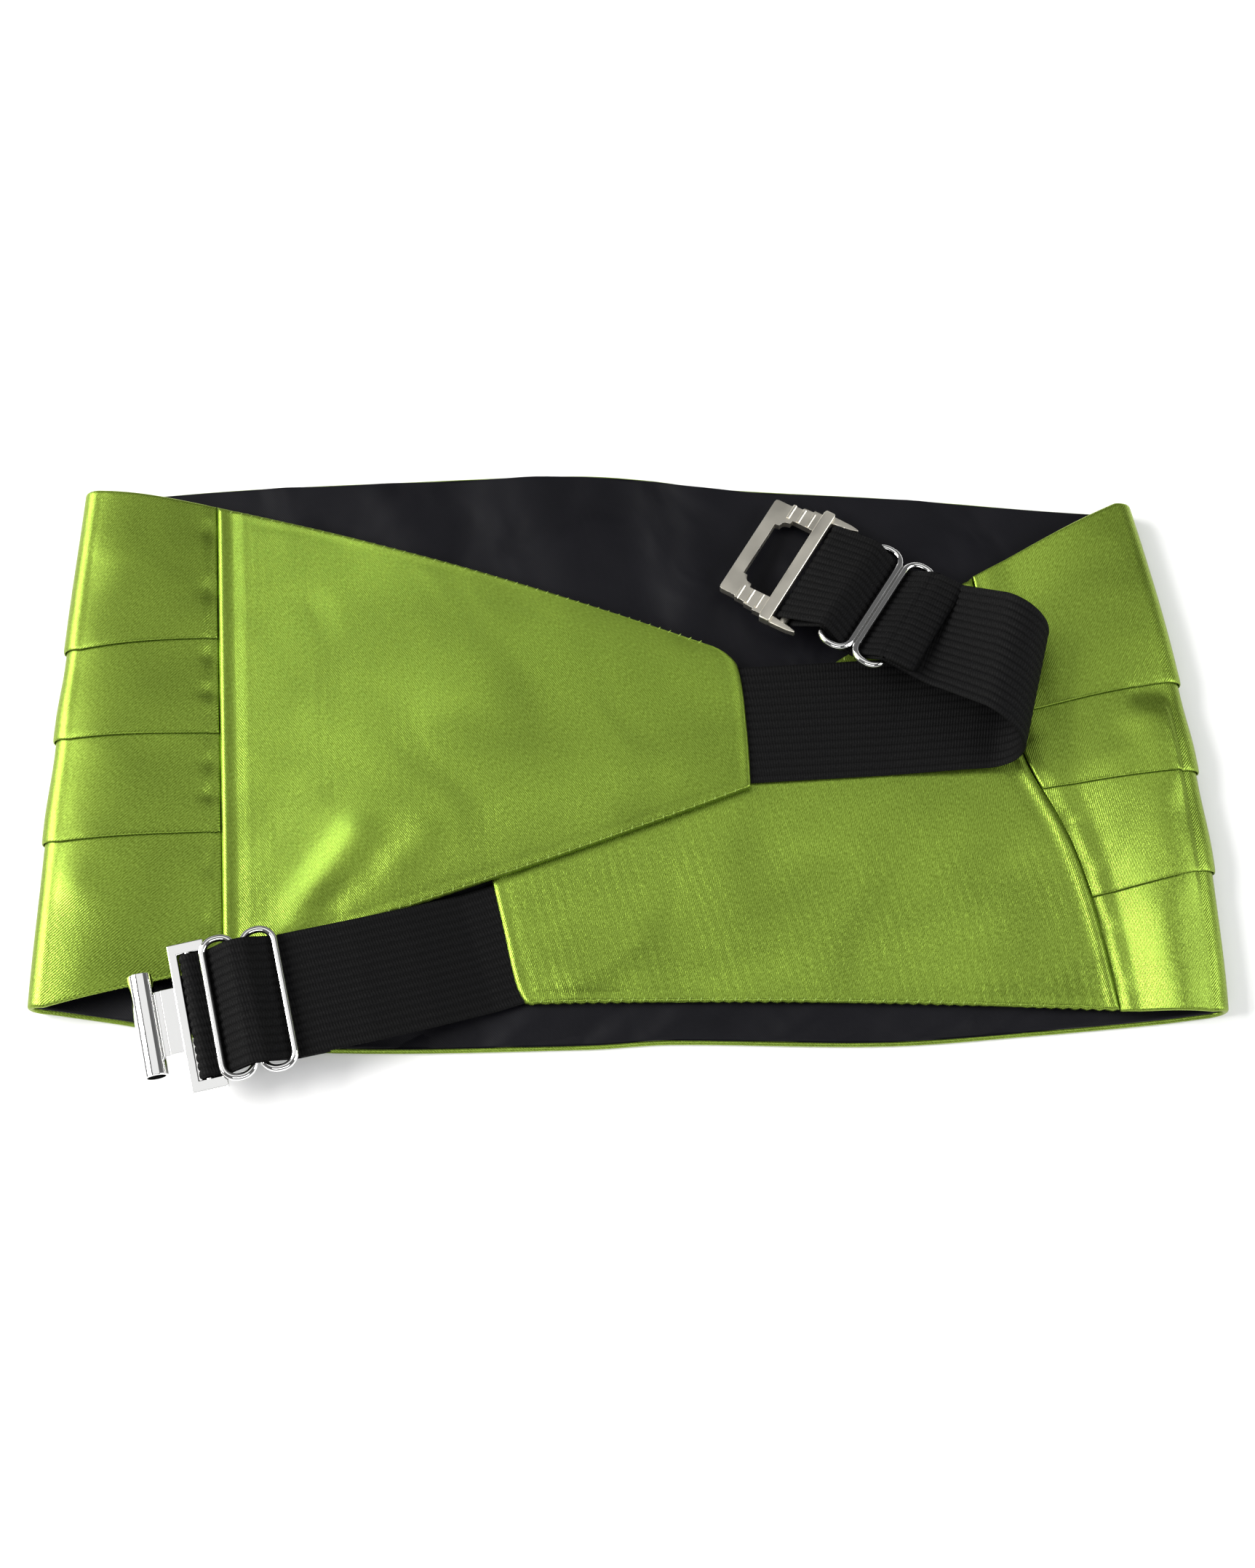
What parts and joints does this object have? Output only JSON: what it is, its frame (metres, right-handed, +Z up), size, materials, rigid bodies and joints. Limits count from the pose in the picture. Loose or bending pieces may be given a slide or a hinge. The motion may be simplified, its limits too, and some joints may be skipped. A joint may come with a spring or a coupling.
{
  "type": "cummerbund",
  "caption": "Pleated satin cummerbund folded flat with its lining up, tapering back wings, ribbed elastic straps, wire slides, a T-hook and its buckle.",
  "frame": {"origin": "middle of the outline in plan, on the surface that the folded piece rests on", "axes": "+X along the front to the right, +Y away from the near edge, +Z up"},
  "size_m": [0.2878, 0.1635, 0.0241],
  "materials": {
    "lime_satin": "glossy satin",
    "black_lining": "smooth lining satin",
    "black_elastic": "ribbed matte",
    "polished_chrome": "polished",
    "satin_nickel": "satin"
  },
  "bodies": {
    "garment": {"front_pleated": "lime_satin", "front_lining": "black_lining", "wing_left": "lime_satin", "wing_right": "lime_satin", "strap_hook_side": "black_elastic", "strap_buckle_side": "black_elastic", "slider_hook_side": "polished_chrome", "slider_buckle_side": "polished_chrome"},
    "hook": {"hook": "polished_chrome"},
    "buckle": {"buckle": "satin_nickel"}
  },
  "joints": [
    {"name": "hook_swing", "type": "hinge", "parent": "garment", "child": "hook", "pos_m": [-0.10179, -0.06282, 0.01045], "axis": [-0.225, 0.9744, 0], "range_deg": [0, 55]},
    {"name": "buckle_swing", "type": "hinge", "parent": "garment", "child": "buckle", "pos_m": [0.04651, 0.05113, 0.00801], "axis": [0.5048, 0.8569, -0.1045], "range_deg": [0, 36]}
  ]
}
